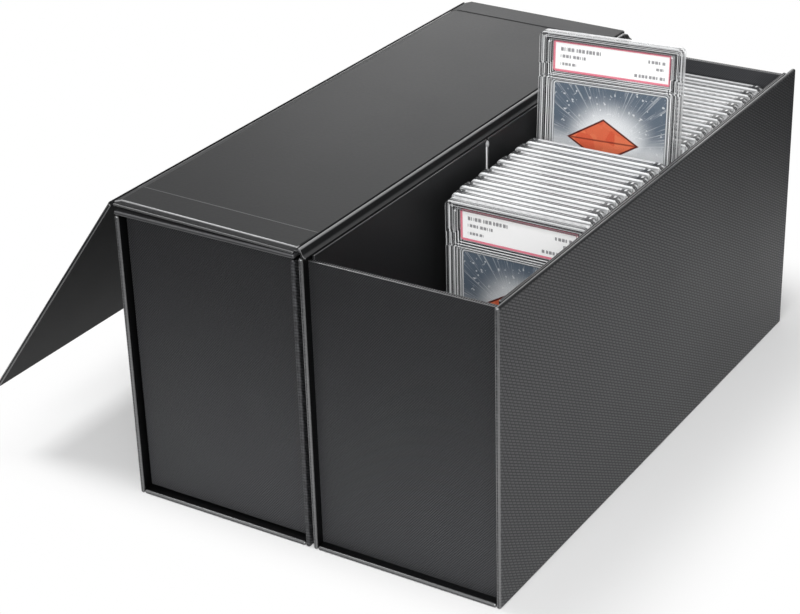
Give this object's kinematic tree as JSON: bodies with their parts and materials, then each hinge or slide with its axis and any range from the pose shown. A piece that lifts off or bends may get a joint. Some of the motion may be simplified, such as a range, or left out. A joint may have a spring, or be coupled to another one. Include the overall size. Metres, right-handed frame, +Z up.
{
  "type": "graded card storage case",
  "caption": "Two long board trays with a book-style cover: the lid lies turned over on one tray, its flap hangs, and card slabs stand in the other.",
  "frame": {"origin": "middle of the right tray's underside", "axes": "+Z up, +Y along the trays from the near end to the far end, +X from the lid and flap towards the filled tray"},
  "size_m": [0.2899, 0.32, 0.1905],
  "materials": {
    "leatherette": "black leatherette over board, fine twill emboss, satin",
    "lining": "smooth black lining paper, satin",
    "web": "flexible black leatherette",
    "magnet": "plated",
    "clear_plastic": "clear, polished",
    "label_paper": "white with a red border",
    "card_paper": "printed and varnished"
  },
  "bodies": {
    "case": {"far_slab_01": "clear_plastic", "far_slab_02": "clear_plastic", "far_slab_03": "clear_plastic", "far_slab_04": "clear_plastic", "far_slab_05": "clear_plastic", "far_slab_06": "clear_plastic", "far_slab_07": "clear_plastic", "far_slab_08": "clear_plastic", "far_slab_09": "clear_plastic", "far_slab_10": "clear_plastic", "front_slab_back_shell": "clear_plastic", "front_slab_card": "card_paper", "front_slab_front_shell": "clear_plastic", "front_slab_label": "label_paper", "hinge_web": "web", "left_base_board": "leatherette", "left_far_end_panel": "leatherette", "left_far_rail": "leatherette", "left_floor_liner": "lining", "left_inner_liner": "lining", "left_inner_rail": "leatherette", "left_inner_wall": "leatherette", "left_near_end_panel": "leatherette", "left_near_rail": "leatherette", "left_outer_liner": "lining", "left_outer_rail": "leatherette", "left_outer_wall": "leatherette", "near_slab_02": "clear_plastic", "near_slab_03": "clear_plastic", "near_slab_04": "clear_plastic", "near_slab_05": "clear_plastic", "near_slab_06": "clear_plastic", "near_slab_07": "clear_plastic", "near_slab_08": "clear_plastic", "near_slab_09": "clear_plastic", "near_slab_10": "clear_plastic", "right_base_board": "leatherette", "right_far_end_panel": "leatherette", "right_floor_liner": "lining", "right_hinge_liner_far": "lining", "right_hinge_liner_near": "lining", "right_hinge_wall": "leatherette", "right_near_end_panel": "leatherette", "right_outer_liner_far": "lining", "right_outer_liner_near": "lining", "right_outer_wall": "leatherette", "wall_magnet_far": "magnet", "wall_magnet_near": "magnet"},
    "lid": {"lid_board": "leatherette", "lid_lining": "lining", "flap_web": "web"},
    "flap": {"flap_board": "leatherette", "flap_lining": "lining", "flap_magnet_near": "magnet", "flap_magnet_far": "magnet"},
    "raised_slab": {"raised_slab_front_shell": "clear_plastic", "raised_slab_back_shell": "clear_plastic", "raised_slab_label": "label_paper", "raised_slab_card": "card_paper"}
  },
  "joints": [
    {"name": "lid_hinge", "type": "hinge", "parent": "case", "child": "lid", "pos_m": [-0.051, 0, 0.15285], "axis": [0, 1, 0], "range_deg": [0, 178.8], "deforming": ["hinge_web"]},
    {"name": "flap_hinge", "type": "hinge", "parent": "lid", "child": "flap", "pos_m": [-0.15343, 0, 0.15475], "axis": [0, 1, 0], "range_deg": [-34, 145.2], "deforming": ["flap_web"]},
    {"name": "slab_slide", "type": "slide", "parent": "case", "child": "raised_slab", "axis": [-0.0055, 0.066, 0.9978], "range_m": [-0.0505, 0]}
  ],
  "couplings": [
    {"joint": "slab_slide", "follows": "lid_hinge", "m_per_rad": -0.01618}
  ]
}
